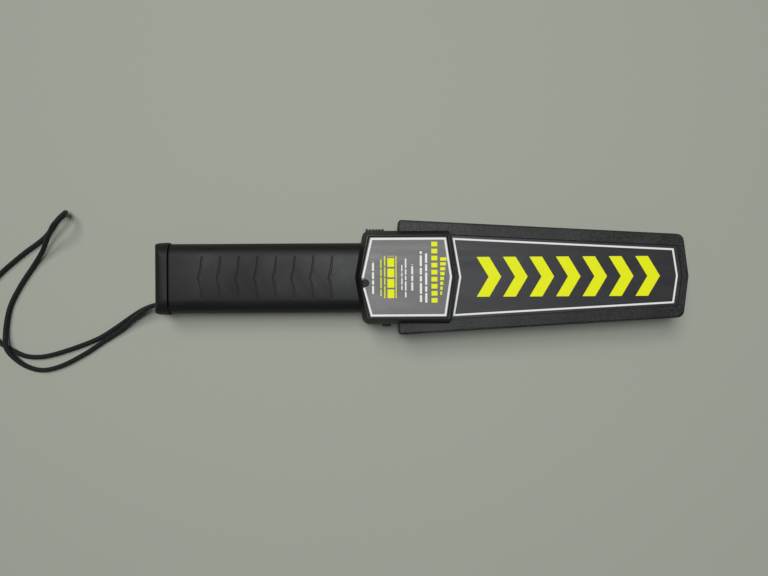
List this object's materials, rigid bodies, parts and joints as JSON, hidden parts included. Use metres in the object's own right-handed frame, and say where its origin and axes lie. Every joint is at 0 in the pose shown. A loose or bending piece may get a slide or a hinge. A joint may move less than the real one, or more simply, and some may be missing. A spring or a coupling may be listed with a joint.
{
  "type": "hand-held security metal detector wand",
  "caption": "Hand-held metal detector wand: flat tapered search paddle, raised control housing, battery handle with grip chevrons and a cord wrist strap.",
  "frame": {"origin": "on the resting surface under the middle of the wand's box, strap left out", "axes": "+X from the handle towards the paddle tip, +Z out of the front (label) face, +Y to the switch side"},
  "size_m": [0.5544, 0.1294, 0.0413],
  "materials": {
    "grain": "spark-eroded grain, black ABS",
    "shell": "fine satin black ABS, polished by handling",
    "paddle_print": "dark grey printed polycarbonate film",
    "panel_print": "mid grey printed polycarbonate film",
    "rubber": "moulded black",
    "nylon": "natural nylon",
    "copper": "enamelled copper wire",
    "board": "green solder mask",
    "steel": "plated",
    "screw_steel": "black zinc",
    "foam": "closed-cell foam",
    "battery_case": "lacquered can",
    "strap": "braided polyester cord",
    "lens_green": "tinted lens",
    "lens_amber": "tinted lens",
    "lens_red": "tinted lens",
    "lead_red": "wire insulation"
  },
  "bodies": {
    "wand": {"paddle_front_shell": "grain", "paddle_rear_shell": "grain", "housing_front_cover": "shell", "housing_rear_cover": "shell", "handle_front_shell": "shell", "handle_rear_shell": "shell", "paddle_label": "paddle_print", "housing_label": "panel_print", "trimmer_body": "rubber", "battery_tray": "rubber", "battery_snap": "rubber", "battery_lead_black": "rubber", "headphone_jack": "rubber", "controller_chip": "rubber", "power_switch_body": "rubber", "coil_former": "nylon", "coil_connector": "nylon", "motor_clip": "nylon", "search_coil": "copper", "tuning_inductor": "copper", "main_board": "board", "filter_capacitor": "steel", "tact_switch": "steel", "speaker": "steel", "vibration_motor": "steel", "strap_anchor_pin": "steel", "paddle_screw_1": "screw_steel", "paddle_screw_2": "screw_steel", "paddle_screw_3": "screw_steel", "paddle_screw_4": "screw_steel", "housing_screw_1": "screw_steel", "housing_screw_2": "screw_steel", "housing_screw_3": "screw_steel", "housing_screw_4": "screw_steel", "handle_screw_1": "screw_steel", "handle_screw_2": "screw_steel", "speaker_gasket": "foam", "battery_foam_pad": "foam", "coil_lead": "foam", "battery_9v": "battery_case", "wrist_strap": "strap", "led_green": "lens_green", "led_amber": "lens_amber", "led_red": "lens_red", "battery_lead_red": "lead_red"},
    "switch_knob": {"power_switch_knob": "rubber"},
    "button": {"push_button_cap": "rubber"},
    "trimmer": {"trimmer_screw": "rubber"},
    "door": {"battery_door": "shell"},
    "motor_rotor": {"eccentric_weight": "steel"}
  },
  "joints": [
    {"name": "power_switch_slide", "type": "slide", "parent": "wand", "child": "switch_knob", "axis": [1, 0, 0], "range_m": [0, 0.0038]},
    {"name": "push_button_press", "type": "slide", "parent": "wand", "child": "button", "axis": [0, 1, 0], "range_m": [0, 0.0012], "stiffness_N_per_m": 400, "springref_m": -0.0004},
    {"name": "trimmer_turn", "type": "hinge", "parent": "wand", "child": "trimmer", "pos_m": [-0.0396, -0.0043, 0.0385], "axis": [0, 0, 1], "range_deg": [-135, 135]},
    {"name": "battery_door_pull", "type": "slide", "parent": "wand", "child": "door", "axis": [-1, 0, 0], "range_m": [0, 0.0085]},
    {"name": "vibration_motor_spin", "type": "hinge", "parent": "wand", "child": "motor_rotor", "pos_m": [-0.0231, 0.0205, 0.0076], "axis": [1, 0, 0], "continuous": true}
  ]
}
